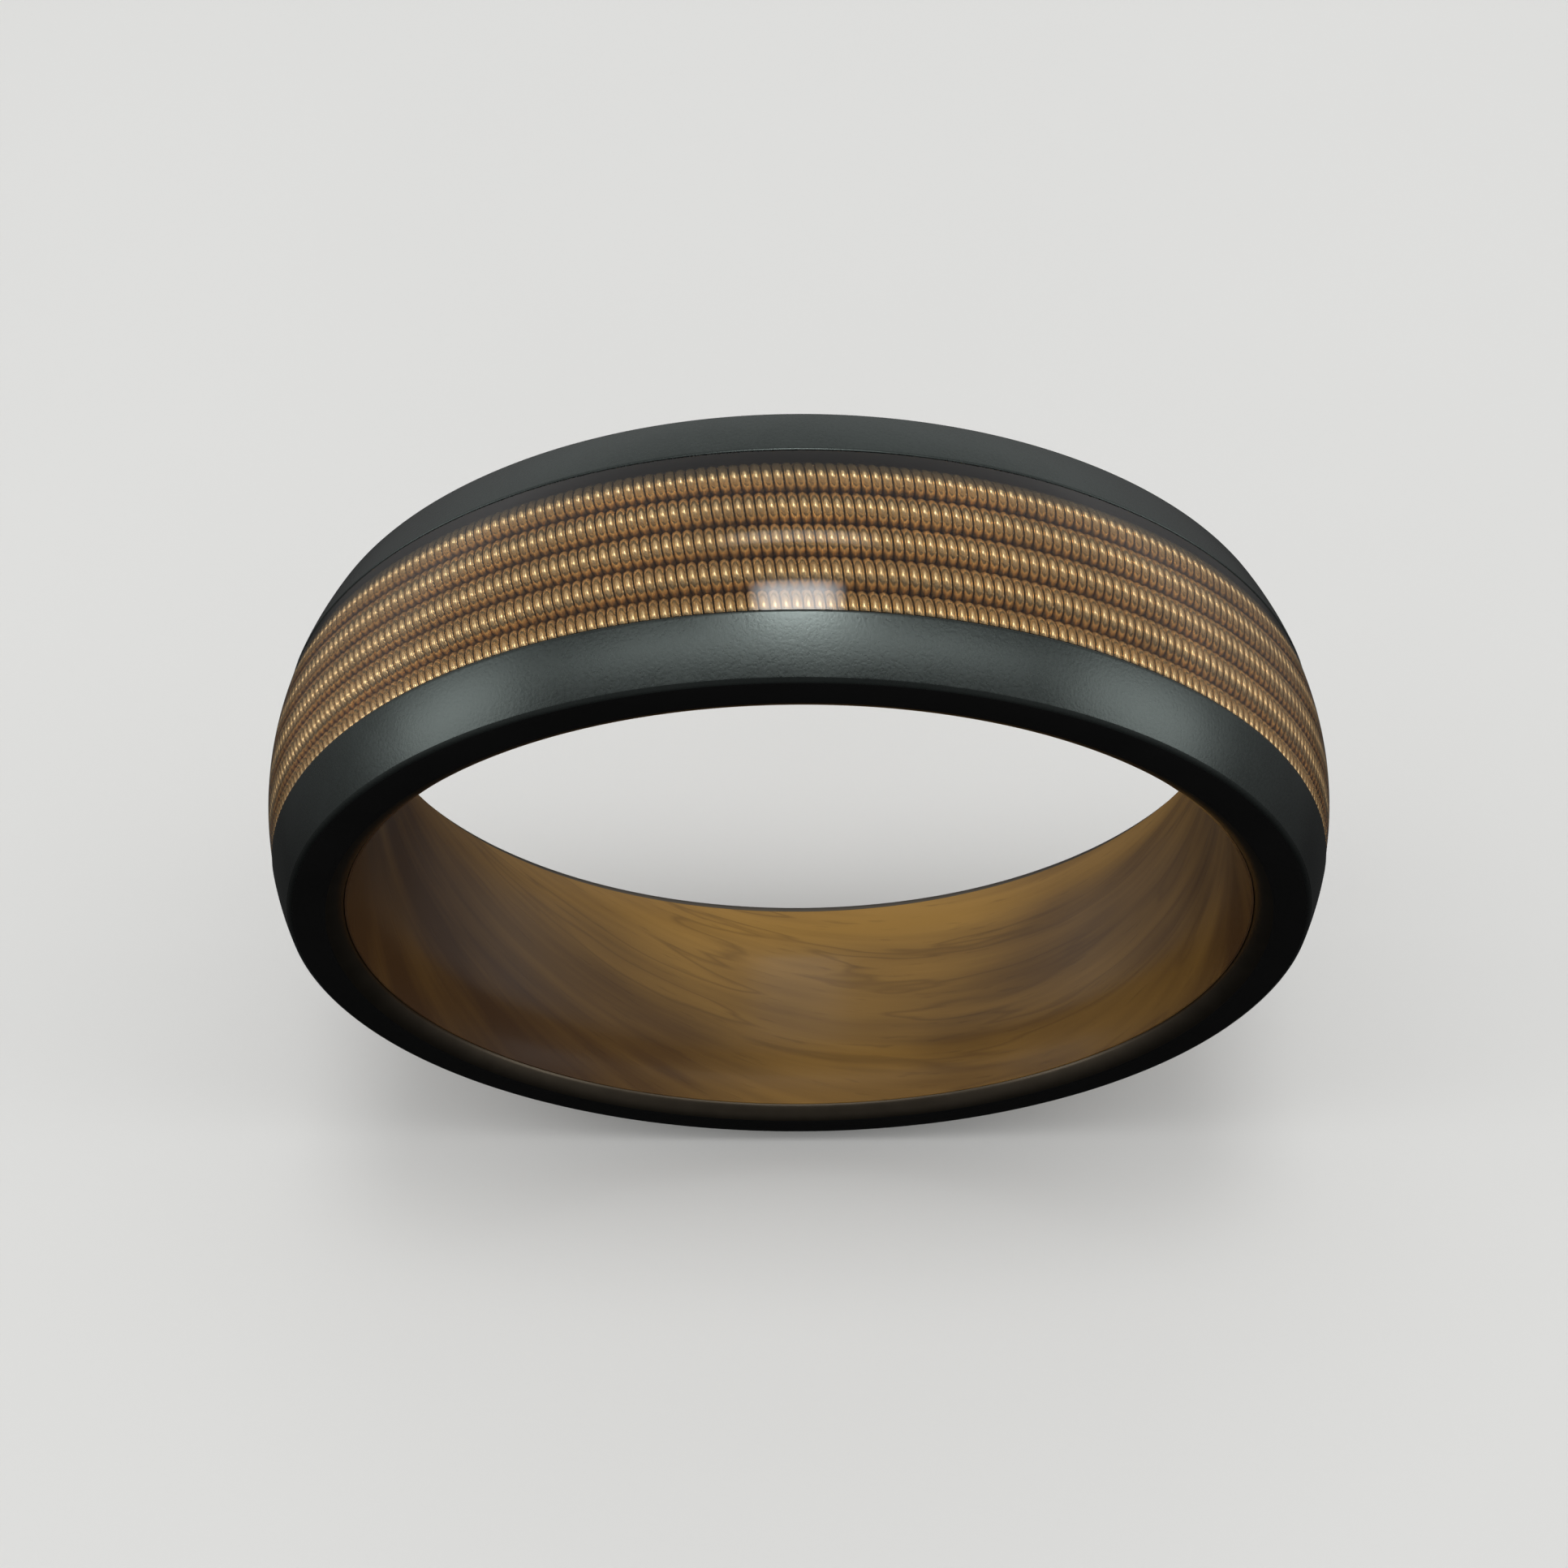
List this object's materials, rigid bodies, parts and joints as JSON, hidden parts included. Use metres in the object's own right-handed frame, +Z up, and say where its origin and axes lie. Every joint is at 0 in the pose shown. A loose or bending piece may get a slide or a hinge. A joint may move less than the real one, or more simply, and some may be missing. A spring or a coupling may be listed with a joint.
{
  "type": "string inlay finger ring",
  "caption": "Domed black metal finger ring with wound bronze music string laid round it under clear resin and a wooden comfort-fit liner.",
  "frame": {"origin": "centre of the bore, midway between the two side faces", "axes": "+Y along the ring's axis, +Z up with the ring standing on its rim, +X across"},
  "size_m": [0.0262, 0.0068, 0.0262],
  "materials": {
    "black_metal": "satin black oxide on zirconium",
    "liner_wood": "polished, sealed",
    "clear_resin": "clear, polished",
    "core_steel": "tinned",
    "winding_bronze": "bright drawn wire"
  },
  "bodies": {
    "root": {"ring_band": "black_metal", "wood_sleeve": "liner_wood", "resin_fill": "clear_resin", "string_core_1": "core_steel", "string_core_2": "core_steel", "string_core_3": "core_steel", "string_core_4": "core_steel", "string_core_5": "core_steel", "string_wrap_1": "winding_bronze", "string_wrap_2": "winding_bronze", "string_wrap_3": "winding_bronze", "string_wrap_4": "winding_bronze", "string_wrap_5": "winding_bronze"}
  },
  "joints": []
}
